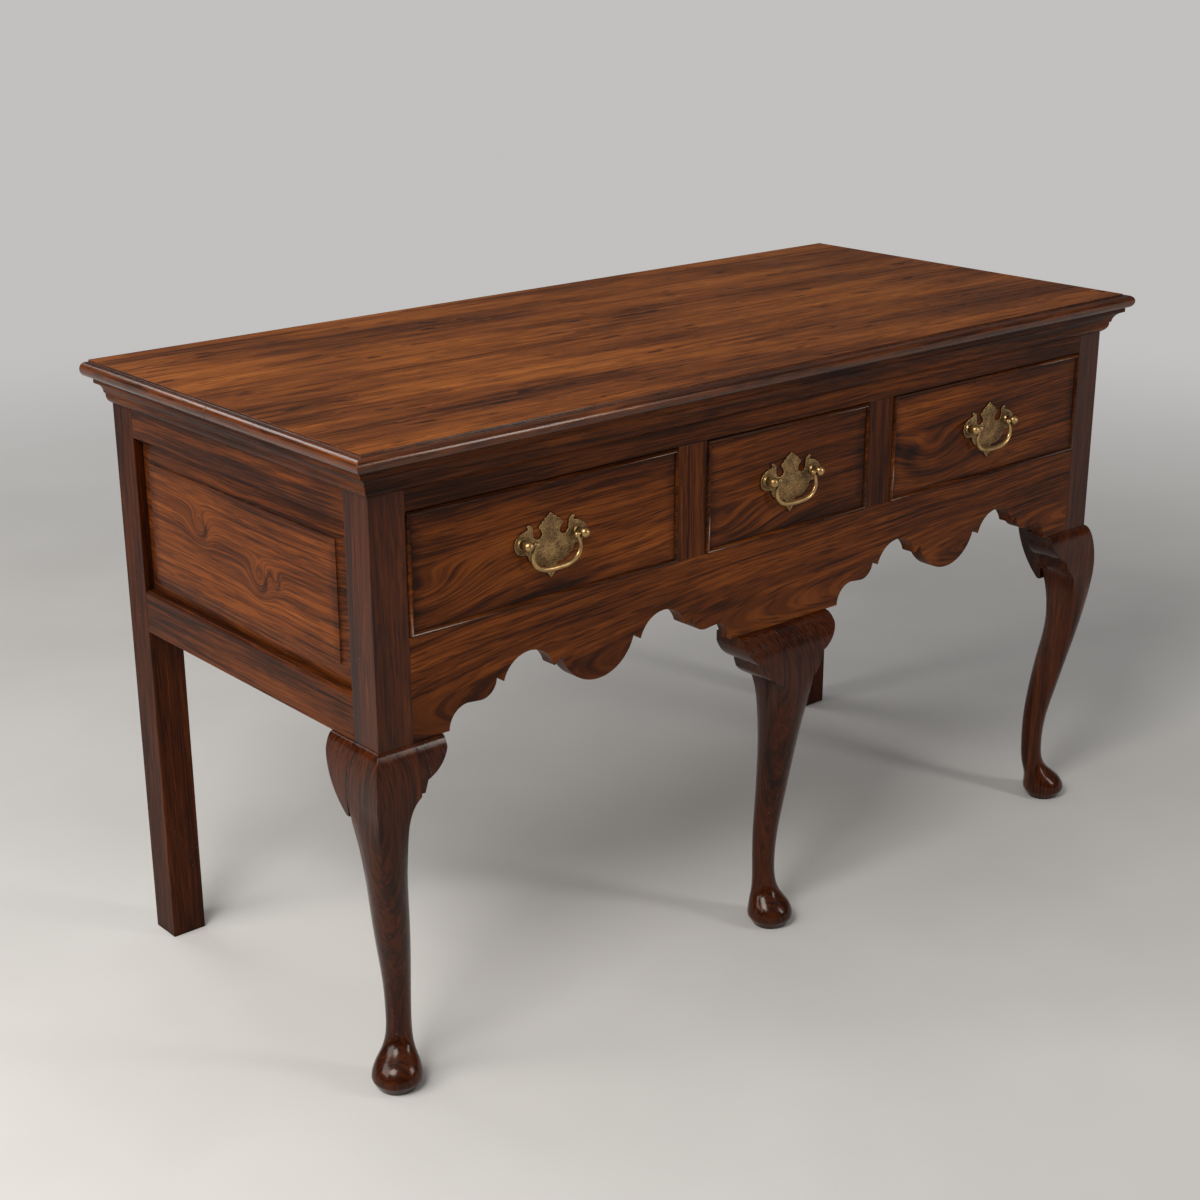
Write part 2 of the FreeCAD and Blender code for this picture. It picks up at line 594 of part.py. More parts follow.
def make_brackets(centre_leg):
    """Brackets beside the left leg, on the front and on the side, and beside the centre leg."""
    edge = f"-{HALF}"
    front_back = f"{FRONT} + bracket_depth"
    made = {}
    half = "centre_knee_half"
    for label, start, proud, middle, tuck in (
            ("knee_bracket_left_front", "post_size", "corner_knee_proud", edge, "0"),
            ("knee_bracket_centre_wide", half, "centre_knee_proud", "0", "0"),
            ("knee_bracket_centre_right", half, "centre_knee_proud", "0", "bracket_tuck")):
        sweep = start == half
        slab = prism(f"{label}_slab", "XZ_Plane", bracket_outline(start, sweep, tuck),
                     f"bracket_depth + {proud}", at=(middle, front_back, "0"))
        face = swelling(label, "x", proud, (middle, FRONT), (f"{middle} + bracket_reach", front_back))
        if sweep:
            made[label] = cut(label, common(f"{label}_blank", slab, face), centre_leg)
        else:
            made[label] = common(label, slab, face)
    label = "knee_bracket_left_side"
    slab = prism(f"{label}_slab", "YZ_Plane",
                 [("post_size", "post_foot"), ("post_size", "knee_middle"),
                  ("side_bracket_root", "side_bracket_foot"),
                  ("side_bracket_toe", "side_bracket_foot", "left", "side_bracket_bend"),
                  ("side_bracket_reach", "side_bracket_end"), ("side_bracket_reach", "post_foot")],
                 "bracket_depth + corner_knee_proud", at=(f"{edge} - corner_knee_proud", FRONT, "0"))
    face = swelling(label, "y", "corner_knee_proud", (edge, FRONT),
                    (f"{edge} + bracket_depth", f"{FRONT} + side_bracket_reach"))
    made[label] = common(label, slab, face)
    wide = made.pop("knee_bracket_centre_wide")
    mirrored = [mirror("knee_bracket_centre_left", wide)]
    mirrored += [mirror(f"knee_bracket_right_{way}", made[f"knee_bracket_left_{way}"])
                 for way in ("front", "side")]
    return list(made.values()) + mirrored


# Inside the case

def make_shelf_strips(label, floor, height):
    """Four strips from front to back that carry or cap the drawer sides; the end ones are notched."""
    outer = f"-{POST_IN} - guide_inset"
    edge = f"-{POST_IN}"
    inner = f"-{POST_IN} + runner_bearing"
    end = prism(f"{label}_end", "XY_Plane",
                [(edge, FRAME_BACK), (inner, FRAME_BACK), (inner, BACK_RAIL_FRONT), (edge, BACK_RAIL_FRONT),
                 (edge, f"{BACK} - post_size"), (outer, f"{BACK} - post_size"),
                 (outer, f"{FRONT} + post_size"), (edge, f"{FRONT} + post_size")],
                height, at=("0", "0", floor))
    middle = box(f"{label}_middle", (f"-{MUNTIN_OUT} - runner_bearing", FRAME_BACK, floor),
                 (f"-{MUNTIN_IN} + runner_bearing", BACK_RAIL_FRONT, f"{floor} + {height}"))
    return compound(label, [end, middle, mirror(f"{label}_middle_right", middle),
                            mirror(f"{label}_end_right", end)])


def make_guides():
    """Strips beside the drawers: one against each pair of posts and one behind each muntin."""
    top = "drawer_floor + guide_height"
    end = box("guide_end", (f"-{POST_IN} - guide_inset", f"{FRONT} + post_size", "drawer_floor"),
              (f"-{POST_IN}", f"{BACK} - post_size", top))
    middle = box("guide_middle", (f"-{MUNTIN_OUT}", FRAME_BACK, "drawer_floor"),
                 (f"-{MUNTIN_IN}", BACK_RAIL_FRONT, top))
    return compound("drawer_guides", [end, middle, mirror("guide_middle_right", middle),
                                      mirror("guide_end_right", end)])


def make_stops():
    """Blocks on the runners that the drawer sides come to rest against."""
    start = f"{DRAWER_BACK} + rest_gap"
    blocks = [box(f"stop_{index}", (low, start, "drawer_floor"),
                  (f"{low} + stop_width", f"{start} + stop_length", "drawer_floor + stop_height"))
              for index, low in enumerate((f"-{POST_IN}", f"-{MUNTIN_OUT} - stop_width", f"-{MUNTIN_IN}"))]
    return compound("drawer_stops", blocks + [mirror(f"{block.Label}_right", block) for block in blocks])


# The drawers

def make_bead(label, low, high):
    """Four mitred strips of cock bead round a drawer front, each with a rounded front edge."""
    strips = []
    width = f"({high[0]} - ({low[0]}))"
    height = f"({high[1]} - ({low[1]}))"
    for side, angle, length, corner in (
            ("bottom", 0, width, low), ("right", -90, height, (high[0], low[1])),
            ("top", 180, width, high), ("left", 90, height, (low[0], high[1]))):
        body = prism(f"{label}_{side}", "XZ_Plane",
                     [("0", "0"), (length, "0"), (f"{length} - bead_width", "bead_width"),
                      ("bead_width", "bead_width")], "bead_depth + bead_proud")
        doc.recompute()
        pad = body.Tip
        front = -number("bead_depth + bead_proud")
        edges = [f"Edge{index}" for index, edge in enumerate(pad.Shape.Edges, 1)
                 if abs(edge.BoundBox.YMax - front) < NEAR and edge.BoundBox.ZLength < NEAR]
        nose = body.newObject("PartDesign::Fillet", f"{label}_{side}_nose")
        nose.Base = (pad, edges)
        bind(nose, Radius=f"bead_width * {NOSE_SHARE}")
        body.Placement = turned_about("y", angle)
        strips.append(place(body, corner[0], f"{FRONT} + bead_depth", corner[1]))
    return compound(label, strips)


def side_outline():
    """A drawer side seen from the side, with dovetails into the front and into the back."""
    front = f"{FRONT} + front_thickness"
    back = f"{DRAWER_BACK} - back_thickness"

    def tail(index, root, tip):
        middle = f"(drawer_floor + tail_start + tail_pitch * {index} + tail_wide / 2)"
        return [(root, f"{middle} - tail_narrow / 2"), (tip, f"{middle} - tail_wide / 2"),
                (tip, f"{middle} + tail_wide / 2"), (root, f"{middle} + tail_narrow / 2")]

    corners = [(front, "drawer_floor"), (back, "drawer_floor")]
    for index in range(1, TAILS):
        corners += tail(index, back, DRAWER_BACK)
    corners += [(back, "drawer_floor + side_height"), (front, "drawer_floor + side_height")]
    for index in reversed(range(TAILS)):
        corners += tail(index, front, f"{front} - tail_depth")[::-1]
    return corners


def make_handle(label, middle):
    """Backplate, two posts with their nuts, and the bail that swings on them."""
    half = []
    for across, up, *arc in PLATE_OUTLINE:
        turn = (arc[0], f"{arc[1]} * plate_scale") if arc else ()
        half.append((f"{across} * plate_scale", f"{up} * plate_scale") + turn)
    rising = half[:-1]
    falling = [(f"-1 * {point[0]}",) + point[1:2] + before[2:]
               for point, before in zip(half[:0:-1], half[-2::-1])]
    plate = prism(f"{label}_plate_blank", "XZ_Plane", rising + falling, "plate_thickness",
                  at=(middle, FRONT, "handle_height"))
    posts = []
    nuts = []
    for side in (-1, 1):
        at = (f"{middle} + {side} * post_spacing / 2", FRONT, "handle_height")
        face = "-plate_thickness"
        collar = f"{face} - collar_height"
        blank = turned(f"{label}_post_{side + 1}",
                       [("0", "front_thickness + shank_tail"),
                        ("0", "-post_reach - post_ball", "left", "post_ball"),
                        ("post_neck", "-post_reach + sqrt(post_ball ^ 2 - post_neck ^ 2)"),
                        ("post_neck", collar), ("post_collar - 1", collar), ("post_collar", face),
                        ("shank_radius", face), ("shank_radius", "front_thickness + shank_tail")], at)
        inward = "post_ball" if side > 0 else "bore_back"
        bore = cross_pin(f"{label}_bore_{side + 1}", "pin_radius + pin_clearance", "post_ball + bore_back",
                         (f"{at[0]} - {inward}", f"{FRONT} - post_reach", "handle_height"))
        posts.append(cut(f"{label}_bored_post_{side + 1}", blank, bore))
        nut = add("Part::Prism", f"{label}_nut_blank_{side + 1}")
        nut.Polygon = 6
        bind(nut, Circumradius="nut_radius", Height="nut_height")
        nut.Placement = turned_about("x", -90)
        place(nut, at[0], f"{FRONT} + front_thickness", at[2])
        nuts.append(cut(f"{label}_nut_{side + 1}", nut, blank))
    return [cut(f"{label}_backplate", plate, *posts), compound(f"{label}_posts", posts + nuts),
            make_bail(label, middle)]


def make_bail(label, middle):
    """A drop handle: a bent bar that swells to its middle, ball ends and pins that turn in the posts."""
    pivot = f"{FRONT} - post_reach"
    line = BAIL_LINE + [(-across, down) for across, down in BAIL_LINE[-2::-1]]
    rings = []
    for step, (across, down) in enumerate(line):
        before = line[max(step - 1, 0)]
        after = line[min(step + 1, len(line) - 1)]
        ring = add("Part::Circle", f"{label}_ring_{step}")
        ring.Placement = turned_about("y", 90)
        bind(ring, Radius=f"bail_radius + (bail_swell - bail_radius) * {down}",
             Placement__Rotation__Angle=f"atan2(bail_bow * {before[0] - after[0]};"
                                        f" bail_drop * {after[1] - before[1]})")
        rings.append(place(ring, f"{middle} + bail_bow * {across}", pivot,
                           f"handle_height - bail_drop * {down}"))
    bar = add("Part::Loft", f"{label}_bar")
    bar.Sections = rings
    bar.Solid = True
    pieces = [bar]
    for side in (-1, 1):
        ball = add("Part::Sphere", f"{label}_ball_{side + 1}")
        bind(ball, Radius="bail_ball")
        pieces.append(place(ball, f"{middle} + {side} * bail_half", pivot, "handle_height"))
        start = f"{middle} + bail_half" if side > 0 else f"{middle} - bail_half - pin_length"
        pieces.append(cross_pin(f"{label}_pin_{side + 1}", "pin_radius", "pin_length",
                                (start, pivot, "handle_height")))
    return fuse(f"{label}_bail", *pieces)


def make_drawer(name, middle, opening):
    """One drawer with its handle; middle and opening are the middle and half width of its opening."""
    label = f"drawer_{name}"
    half = f"({opening} - fit_gap)"
    low = (f"{middle} - {half}", "drawer_floor + fit_gap")
    high = (f"{middle} + {half}", "drawer_ceiling - fit_gap")
    back = f"{DRAWER_BACK} - back_thickness"
    inner_back = f"{FRONT} + front_thickness"
    plate, posts, bail = make_handle(f"handle_{name}", middle)
    bead = make_bead(f"{label}_cock_bead", low, high)
    floor = "drawer_floor + bottom_rise"
    reach = f"({half} - side_thickness + groove_depth)"
    bottom = box(f"{label}_bottom", (f"{middle} - {reach}", f"{inner_back} - groove_depth", floor),
                 (f"{middle} + {reach}", DRAWER_BACK, f"{floor} + bottom_thickness"))
    sides = []
    for hand, start in (("left", low[0]), ("right", f"{high[0]} - side_thickness")):
        blank = prism(f"{label}_side_{hand}_blank", "YZ_Plane", side_outline(), "side_thickness",
                      at=(start, "0", "0"))
        sides.append(cut(f"{label}_side_{hand}", blank, bottom))
    front_blank = box(f"{label}_front_blank", (low[0], FRONT, low[1]), (high[0], inner_back, high[1]))
    front = cut(f"{label}_front", front_blank, bead, bottom, posts, *sides)
    back_blank = box(f"{label}_back_blank", (low[0], back, f"{floor} + bottom_thickness"),
                     (high[0], DRAWER_BACK, "drawer_floor + side_height - tail_start / 2"))
    rear = cut(f"{label}_back", back_blank, *sides)
    return [front, bead] + sides + [rear, bottom, plate, posts, bail]


# The whole dresser base

side_pieces = make_side()
front_rails, muntins = make_front_frame()
back_rails, back_boards = make_back()
pieces = make_top() + make_cornice()
corner_legs = make_corner_legs(front_rails + side_pieces)
centre_leg = make_centre_leg()
pieces += corner_legs + [centre_leg] + make_brackets(centre_leg)
pieces += make_rear_legs(side_pieces + back_rails)
pieces += side_pieces + [mirror(piece.Label.replace("left", "right"), piece) for piece in side_pieces]
pieces += front_rails + muntins + back_rails + [back_boards]
pieces += [make_shelf_strips("drawer_runners", "drawer_floor - runner_height", "runner_height"),
           make_shelf_strips("drawer_kickers", "drawer_ceiling", "kicker_height"),
           make_guides(), make_stops()]
end_middle = f"(({POST_IN} + {MUNTIN_OUT}) / 2)"
end_opening = f"(({POST_IN} - {MUNTIN_OUT}) / 2)"
for name, middle, opening in (("left", f"-{end_middle}", end_opening), ("centre", "0", MUNTIN_IN),
                              ("right", end_middle, end_opening)):
    pieces += make_drawer(name, middle, opening)
doc.recompute()

for thing in doc.Objects:
    if any(flag in ("Invalid", "Error") for flag in thing.State):
        raise RuntimeError(f"{thing.Label} could not be made: {thing.State}")
for piece in pieces:
    if piece.Shape.isNull() or not piece.Shape.isValid() or not piece.Shape.Solids:
        raise RuntimeError(f"{piece.Label} is not a sound solid")
for piece in pieces:
    piece.Shape.exportStep(f"parts/{piece.Label}.step")
print(f"{len(pieces)} pieces written")
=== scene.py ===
"""Looks for the dresser base: polished hardwood, aged brass, a pale floor and soft light. Metres."""

import math

import bpy
from mathutils import Matrix, Vector


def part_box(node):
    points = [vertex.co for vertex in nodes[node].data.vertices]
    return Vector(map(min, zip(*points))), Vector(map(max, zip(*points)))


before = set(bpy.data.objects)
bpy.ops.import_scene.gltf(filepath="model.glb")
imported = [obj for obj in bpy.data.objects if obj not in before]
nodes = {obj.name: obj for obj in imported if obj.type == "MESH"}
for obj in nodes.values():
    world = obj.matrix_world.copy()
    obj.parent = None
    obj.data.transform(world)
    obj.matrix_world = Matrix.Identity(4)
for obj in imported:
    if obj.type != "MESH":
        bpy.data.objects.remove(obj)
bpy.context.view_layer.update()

scene = bpy.context.scene
scene.view_settings.view_transform = "Standard"


# Small helpers for shader nodes

class Shader:
    """Adds nodes to a material and links them; a value that isn't a socket is set on the input."""

    def __init__(self, name):
        self.material = bpy.data.materials.new(name)
        self.material.use_nodes = True
        self.tree = self.material.node_tree
        self.tree.nodes.clear()

    def fill(self, socket, value):
        if isinstance(value, bpy.types.NodeSocket):
            self.tree.links.new(value, socket)
        else:
            socket.default_value = value

    def add(self, kind, inputs=(), **settings):
        made = self.tree.nodes.new(kind)
        for key, value in settings.items():
            setattr(made, key, value)
        for key, value in dict(inputs).items():
            self.fill(made.inputs[key], value)
        return made

    def math(self, operation, *values, clamp=False):
        made = self.add("ShaderNodeMath", dict(enumerate(values)), operation=operation, use_clamp=clamp)
        return made.outputs[0]

    def plus(self, first, second):
        return self.math("ADD", first, second)

    def minus(self, first, second, clamp=False):
        return self.math("SUBTRACT", first, second, clamp=clamp)

    def times(self, first, second):
        return self.math("MULTIPLY", first, second)

    def over(self, first, second):
        return self.math("DIVIDE", first, second)

    def least(self, first, second):
        return self.math("MINIMUM", first, second)

    def most(self, first, second):
        return self.math("MAXIMUM", first, second)

    def scaled(self, value, low, high, to_low=0.0, to_high=1.0):
        made = self.add("ShaderNodeMapRange", {"Value": value, "From Min": low, "From Max": high,
                                               "To Min": to_low, "To Max": to_high},
                        interpolation_type="SMOOTHSTEP")
        return made.outputs[0]

    def noise(self, vector, scale, detail=2.0, roughness=0.5, distortion=0.0):
        made = self.add("ShaderNodeTexNoise", {"Vector": vector, "Scale": scale, "Detail": detail,
                                               "Roughness": roughness, "Distortion": distortion})
        return made.outputs["Fac"]

    def mix(self, amount, first, second):
        made = self.add("ShaderNodeMix", data_type="RGBA")
        for index, value in ((0, amount), (6, first), (7, second)):
            self.fill(made.inputs[index], value)
        return made.outputs[2]

    def ramp(self, value, stops):
        made = self.add("ShaderNodeValToRGB", {"Fac": value})
        made.color_ramp.interpolation = "EASE"
        while len(made.color_ramp.elements) < len(stops):
            made.color_ramp.elements.new(0.5)
        for element, (place, colour) in zip(made.color_ramp.elements, stops):
            element.position = place
            element.color = colour + (1.0,)
        return made.outputs["Color"]

    def combine(self, x, y, z):
        return self.add("ShaderNodeCombineXYZ", {"X": x, "Y": y, "Z": z}).outputs[0]

    def place(self):
        return self.add("ShaderNodeTexCoord").outputs["Object"]

    def openness(self, reach):
        """1 in the open, lower in corners narrower than the reach."""
        return self.add("ShaderNodeAmbientOcclusion", {"Distance": reach}, samples=2).outputs["AO"]

    def rounded(self, radius, samples):
        """The surface's normal, turned as if its edges were rounded."""
        return self.add("ShaderNodeBevel", {"Radius": radius}, samples=samples).outputs[0]

    def flatness(self, radius):
        """1 on flat faces, lower within the radius of an edge."""
        normal = self.add("ShaderNodeNewGeometry").outputs["Normal"]
        made = self.add("ShaderNodeVectorMath", {0: self.rounded(radius, 2), 1: normal},
                        operation="DOT_PRODUCT")
        return made.outputs["Value"]

    def output(self, shader):
        made = self.add("ShaderNodeOutputMaterial")
        self.tree.links.new(shader, made.inputs["Surface"])
        return self.material


# Wood. Along is the grain, across lies in the face that shows, and deep goes into the board.

ORDER = {"x_front": "XZY", "x_top": "XYZ", "y_side": "YZX", "z_front": "ZXY", "z_side": "ZYX",
         "y_flat": "YXZ"}

# Palettes run from the darkest grain to the palest
TOP = ((0.0, (0.016, 0.0048, 0.0022)), (0.25, (0.066, 0.0178, 0.0050)), (0.50, (0.158, 0.0440, 0.0092)),
       (0.75, (0.262, 0.0780, 0.0150)), (1.0, (0.380, 0.1250, 0.0240)))
CASE = ((0.0, (0.008, 0.0023, 0.0012)), (0.25, (0.034, 0.0080, 0.0022)), (0.50, (0.088, 0.0208, 0.0036)),
        (0.75, (0.160, 0.0405, 0.0062)), (1.0, (0.245, 0.0690, 0.0105)))
LEG = ((0.0, (0.006, 0.0015, 0.0008)), (0.30, (0.021, 0.0042, 0.0012)), (0.60, (0.050, 0.0102, 0.0019)),
       (1.0, (0.110, 0.0258, 0.0044)))
INNER = ((0.0, (0.080, 0.040, 0.018)), (0.4, (0.180, 0.098, 0.046)), (0.7, (0.270, 0.158, 0.078)),
         (1.0, (0.350, 0.215, 0.110)))
BRASS = ((0.0, (0.72, 0.48, 0.205)), (0.30, (0.46, 0.290, 0.118)), (0.65, (0.24, 0.145, 0.062)),
         (1.0, (0.055, 0.033, 0.017)))
# The dark colour of painted shade in corners, standing also for old wax there
SHADE_AND_WAX_COLOUR = (0.0060, 0.0026, 0.0016, 1.0)
NICK = (0.42, 0.33, 0.25, 1.0)
POLISH_TINT = (1.0, 0.80, 0.64, 1.0)
COAT_ROUGHNESS = 0.16
COAT_IOR = 1.4


class Board:
    """The grain of one board, as sockets of its shader."""

    def __init__(self, s, grain, seed):
        self.s = s
        self.seed = seed
        self.place = s.place()
        parts = s.add("ShaderNodeSeparateXYZ", {"Vector": self.place})
        self.along, self.across, self.deep = (parts.outputs[axis] for axis in ORDER[grain])
        self.slow = s.combine(s.times(s.plus(self.along, seed * 3.17), 1.6),
                              s.times(s.plus(self.across, seed * 1.31), 7.0),
                              s.times(self.deep, 7.0))
        self.cloud = s.noise(self.slow, 1.35, 3.0, 0.55, 0.3)

    def hill(self, across, where, level, length, width):
        """How near a point is to a spot: 1 in the middle, falling off smoothly."""
        s = self.s
        far = s.over(s.minus(self.along, where), length)
        off = s.over(s.minus(across, level), width)
        return s.math("EXPONENT", s.times(s.plus(s.times(far, far), s.times(off, off)), -1.0))

    def grow(self, pith, tilt, ring, figure, knots, flecks):
        """The distance from the pith, bent by slow waves and round each knot and fleck."""
        s = self.s
        wave = s.times(s.minus(s.noise(self.slow, 1.0, 2.0, 0.5), 0.5), 0.050 * figure)
        sideways = s.minus(s.plus(self.across, wave), pith[0])
        inward = s.minus(s.plus(self.deep, s.times(self.along, tilt)), pith[1])
        self.radius = s.math("SQRT", s.plus(s.times(sideways, sideways), s.times(inward, inward)))
        for where, level, length, width, rings in knots:
            bend = s.times(self.hill(self.across, where, level, length, width), ring * rings)
            self.radius = s.plus(self.radius, bend)
        if flecks:
            stretched = s.combine(s.times(self.along, 15.0), s.times(self.across, 62.0), self.seed)
            self.dots = s.noise(stretched, 1.0, 1.0)
            self.radius = s.plus(self.radius, s.times(s.scaled(self.dots, 0.54, 0.78), ring * 0.35))

    def fine(self, stretch, fineness, detail, roughness=0.5):
        """A noise drawn out along the rings."""
        s = self.s
        stretched = s.combine(s.times(s.plus(self.along, self.seed), stretch),
                              s.times(s.plus(self.radius, self.seed * 0.7), fineness),
                              s.times(self.deep, fineness * 0.4))
        return s.noise(stretched, 1.0, detail, roughness)

    def late_wood(self, ring):
        """The dark end of each year's ring, stronger in some places."""
        s = self.s
        shaken = s.times(s.noise(self.slow, 3.4, 4.0, 0.6), 0.8)
        share = s.math("FRACT", s.plus(s.over(self.radius, ring), shaken))
        late = s.times(s.math("POWER", share, 2.6), s.scaled(share, 1.0, 0.90))
        return s.times(late, s.scaled(s.noise(self.slow, 1.7, 2.0), 0.36, 0.66, 0.25, 1.0))


def grain_tone(board, fibre, ring, figure, lift, mottle):
    """Where each point stands on the palette, from stain, streaks, fibres, lines and rings."""
    s = board.s
    streak = board.fine(2.4, 58.0, 3.0, 0.60)
    line = s.scaled(board.fine(3.5, 380.0, 1.0, 0.6), 0.50, 0.62)
    tone = s.plus(s.times(s.scaled(board.cloud, 0.32, 0.68), mottle),
                  s.times(s.scaled(streak, 0.28, 0.72), 0.24))
    tone = s.plus(tone, s.times(s.scaled(fibre, 0.30, 0.70), 0.34))
    tone = s.minus(tone, s.times(line, s.scaled(streak, 0.62, 0.40, 0.04, 0.18)))
    tone = s.minus(tone, s.times(board.late_wood(ring), 0.28 * figure))
    return s.plus(tone, lift + 0.24 - 0.5 * mottle + 0.07 * figure)


def mark_knots(board, tone, knots, ragged):
    """A dark line round each knot, heavier on one side."""
    s = board.s
    for where, level, length, width, _ in knots:
        spot = board.hill(s.plus(board.across, ragged), where, level, length, width)
        loop = s.times(s.scaled(spot, 0.36, 0.64), s.scaled(spot, 0.90, 0.66))
        lean = s.plus(s.over(s.minus(where, board.along), length),
                      s.over(s.minus(level, board.across), width * 1.6))
        tone = s.minus(tone, s.times(loop, s.scaled(lean, -0.5, 0.8, 0.04, 0.34)))
    return tone


def mark_glue_line(board, tone, seam):
    s = board.s
    near = s.scaled(s.math("ABSOLUTE", s.minus(board.across, seam)), 0.0020, 0.0006)
    return s.minus(tone, s.times(near, s.scaled(s.noise(board.place, 5.0, 2.0), 0.40, 0.60, 0.12, 0.42)))


# Painted shade: the face darkens outside the rim's box and fades out over the rim's width inside it
def paint_border_shade(board, tone, rim):
    s = board.s
    low_along, high_along, low_across, high_across, width, depth = rim
    inside = s.least(s.least(s.minus(board.along, low_along), s.minus(high_along, board.along)),
                     s.least(s.minus(board.across, low_across), s.minus(high_across, board.across)))
    inside = s.plus(inside, s.times(s.minus(board.cloud, 0.5), width * 0.9))
    return s.minus(tone, s.scaled(inside, width, 0.0, 0.0, depth))


def wear_and_shade(board, colour, palette, shade_and_wax_reach):
    """Corners get painted shade, which stands also for old wax; edges are rubbed paler with a few pale nicks.
    """
    s = board.s
    # Painted shade: darker where ambient occlusion finds corners, also standing for old wax
    shade_and_wax = s.times(s.scaled(s.openness(shade_and_wax_reach), 0.90, 0.35), 0.60)
    colour = s.mix(shade_and_wax, colour, SHADE_AND_WAX_COLOUR)
    rub = s.times(s.scaled(s.flatness(0.0018), 0.975, 0.86),
                  s.scaled(s.noise(board.place, 34.0, 4.0, 0.65), 0.46, 0.70))
    colour = s.mix(s.times(rub, 0.40), colour, palette[-1][1] + (1.0,))
    nick = s.times(s.scaled(s.noise(board.place, 420.0, 1.0), 0.765, 0.80),
                   s.scaled(s.noise(board.place, 7.0, 1.0), 0.52, 0.62))
    return s.mix(s.times(nick, 0.45), colour, NICK), shade_and_wax


def wood(name, grain, palette, pith, seed, tilt=0.06, ring=0.011, figure=1.0, lift=0.0, mottle=0.32,
         knots=(), flecks=0.0, rim=None, seam=None,
         gloss=0.38, shine=0.08, coat=0.10, edge=0.0, shade_and_wax_reach=0.007):
    """A board's own material.

    pith is where the middle of the tree lies, across and deep, and tilt how far the board leans against it.
    knots are (along, across, length, width, rings), and flecks is how dark the scattered flecks are.
    rim is the box (along, across) round which the face is darkened as painted shade, the width of that dark
    border and how dark it is.
    seam is where a glue line runs, across.
    ring is the width of a year's growth, figure how wild the grain is, lift how pale the board is and mottle
    how strong its clouds of stain are.
    gloss is the polish's roughness, shine and coat how much it reflects, edge how far it rounds the corners
    and shade_and_wax_reach how far the painted shade and old wax spread out of them.
    """
    s = Shader(name)
    board = Board(s, grain, seed)
    board.grow(pith, tilt, ring, figure, knots, flecks)
    fibre = board.fine(8.0, 300.0, 4.0, 0.70)
    pore = s.scaled(board.fine(20.0, 520.0, 1.0), 0.53, 0.64)
    ragged = s.times(s.minus(fibre, 0.5), 0.026)

    tone = grain_tone(board, fibre, ring, figure, lift, mottle)
    if flecks:
        tone = s.minus(tone, s.scaled(s.plus(board.dots, s.times(ragged, 3.0)), 0.65, 0.79, 0.0, flecks))
    tone = mark_knots(board, tone, knots, ragged)
    if seam is not None:
        tone = mark_glue_line(board, tone, seam)
    if rim:
        tone = paint_border_shade(board, tone, rim)
    colour = s.mix(s.times(pore, 0.50), s.ramp(tone, palette), palette[0][1] + (1.0,))
    colour, shade_and_wax = wear_and_shade(board, colour, palette, shade_and_wax_reach)

    haze = s.times(s.minus(s.noise(board.place, 11.0, 4.0, 0.6), 0.5), 0.20)
    rough = s.plus(s.plus(gloss, haze), s.times(shade_and_wax, 0.25))
    relief = {"Height": s.minus(s.times(fibre, 0.6), s.times(pore, 0.8)),
              "Strength": 0.16, "Distance": 0.0006}
    if edge:
        relief["Normal"] = s.rounded(edge, 6)
    bump = s.add("ShaderNodeBump", relief)
    body = s.add("ShaderNodeBsdfPrincipled",
                 {"Base Color": colour, "Roughness": rough, "Normal": bump.outputs[0],
                  "Specular IOR Level": shine, "Specular Tint": POLISH_TINT,
                  "Coat Weight": coat, "Coat Roughness": COAT_ROUGHNESS, "Coat IOR": COAT_IOR})
    return s.output(body.outputs[0])


def brass(name, grainy, gloss, bright):
    """Aged brass: rubbed bright on the proud places, brown in the hollows.

    grainy is how coarse the surface is, and bright how far it is cleaned, where less than 0 is browner.
    """
    s = Shader(name)
    place = s.place()
    cloud = s.noise(place, 70.0, 4.0, 0.6)
    speck = s.noise(place, 800.0, 3.0, 0.7)
    patina = s.plus(s.times(s.scaled(cloud, 0.30, 0.72), 0.34),
                    s.times(s.scaled(speck, 0.40, 0.62), 0.55 * grainy))
    patina = s.plus(patina, s.times(s.scaled(s.openness(0.006), 0.92, 0.35), 0.75))
    patina = s.minus(patina, s.times(s.scaled(s.flatness(0.0012), 0.98, 0.82), 0.62))
    patina = s.minus(patina, bright, clamp=True)
    bump = s.add("ShaderNodeBump", {"Height": s.plus(speck, s.times(cloud, 0.4)),
                                    "Strength": 0.30 * grainy, "Distance": 0.0004})
    body = s.add("ShaderNodeBsdfPrincipled",
                 {"Base Color": s.ramp(patina, BRASS), "Roughness": s.plus(gloss, s.times(patina, 0.24)),
                  "Normal": bump.outputs[0], "Metallic": 0.92})
    return s.output(body.outputs[0])


# Edge softening and materials for the carried-over solids

def soften(node, width, segments, angle):
    """Merge the split corners, join flat triangles, round the sharp edges and shade the rest smooth."""
    thing = nodes[node]
    mesh = thing.data
    if "custom_normal" in mesh.attributes:
        mesh.attributes.remove(mesh.attributes["custom_normal"])
    mesh.polygons.foreach_set("use_smooth", [True] * len(mesh.polygons))
    weld = thing.modifiers.new("weld", "WELD")
    weld.merge_threshold = 0.00002
    flat = thing.modifiers.new("flat", "DECIMATE")
    flat.decimate_type = "DISSOLVE"
    flat.angle_limit = math.radians(0.3)
    edge = thing.modifiers.new("edge", "BEVEL")
    edge.width = width
    edge.segments = segments
    edge.limit_method = "ANGLE"
    edge.angle_limit = math.radians(angle)
    edge.harden_normals = True
    level = thing.modifiers.new("level", "WEIGHTED_NORMAL")
    level.keep_sharp = True


def dress(names, material, width, segments=2, angle=28.0):
    for name in names:
        nodes[name].data.materials.clear()
        nodes[name].data.materials.append(material)
        soften(name, width, segments, angle)


def face_rim(node, first, second, inset, width, depth):
    """The border of a board's face for wood()'s painted shade: its box on the two axes that show, drawn in by
    the inset.
    """
    low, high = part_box(node)
    return (low[first] + inset, high[first] - inset, low[second] + inset, high[second] - inset, width, depth)


